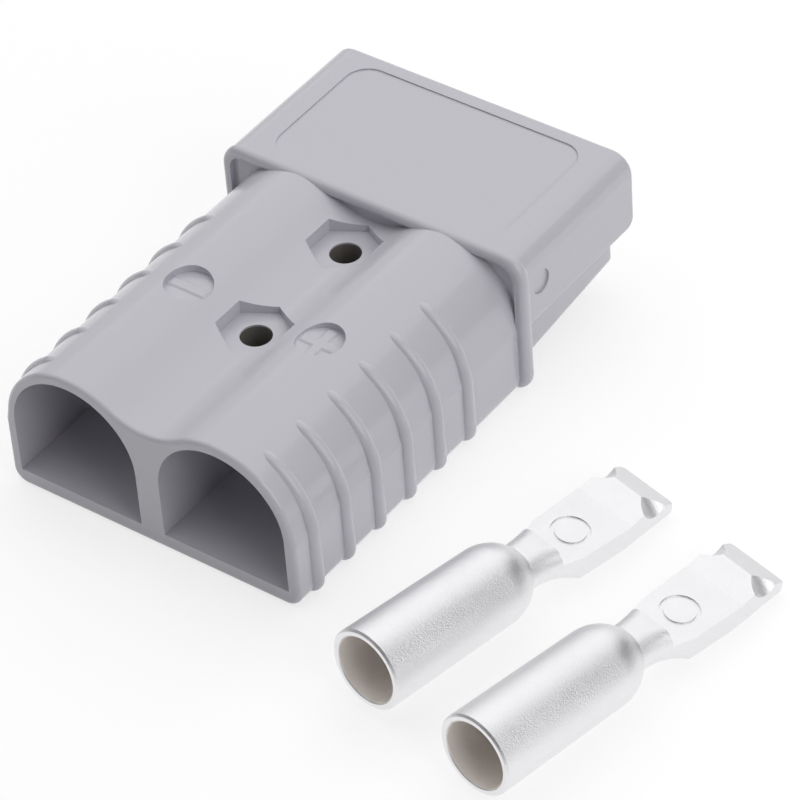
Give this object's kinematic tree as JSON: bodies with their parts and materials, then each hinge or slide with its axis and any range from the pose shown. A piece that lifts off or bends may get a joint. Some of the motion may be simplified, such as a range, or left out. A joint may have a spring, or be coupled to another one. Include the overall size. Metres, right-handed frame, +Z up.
{
  "type": "genderless power connector",
  "caption": "Genderless high-current power connector: moulded housing with cable barrels, grip ribs and an open hood, its forged contacts lying loose beside it.",
  "frame": {"origin": "middle of the two panel screw holes on the housing's bottom face", "axes": "+Y from the cable end towards the mating end, +Z up from the bottom face, +X towards the loose contacts"},
  "size_m": [0.141, 0.1312, 0.0322],
  "materials": {
    "housing_plastic": "satin",
    "contact_silver": "satin",
    "spring_steel": "satin"
  },
  "bodies": {
    "root": {"housing": "housing_plastic", "near_contact": "contact_silver", "far_contact": "contact_silver", "left_retaining_spring": "spring_steel", "right_retaining_spring": "spring_steel"}
  },
  "joints": []
}
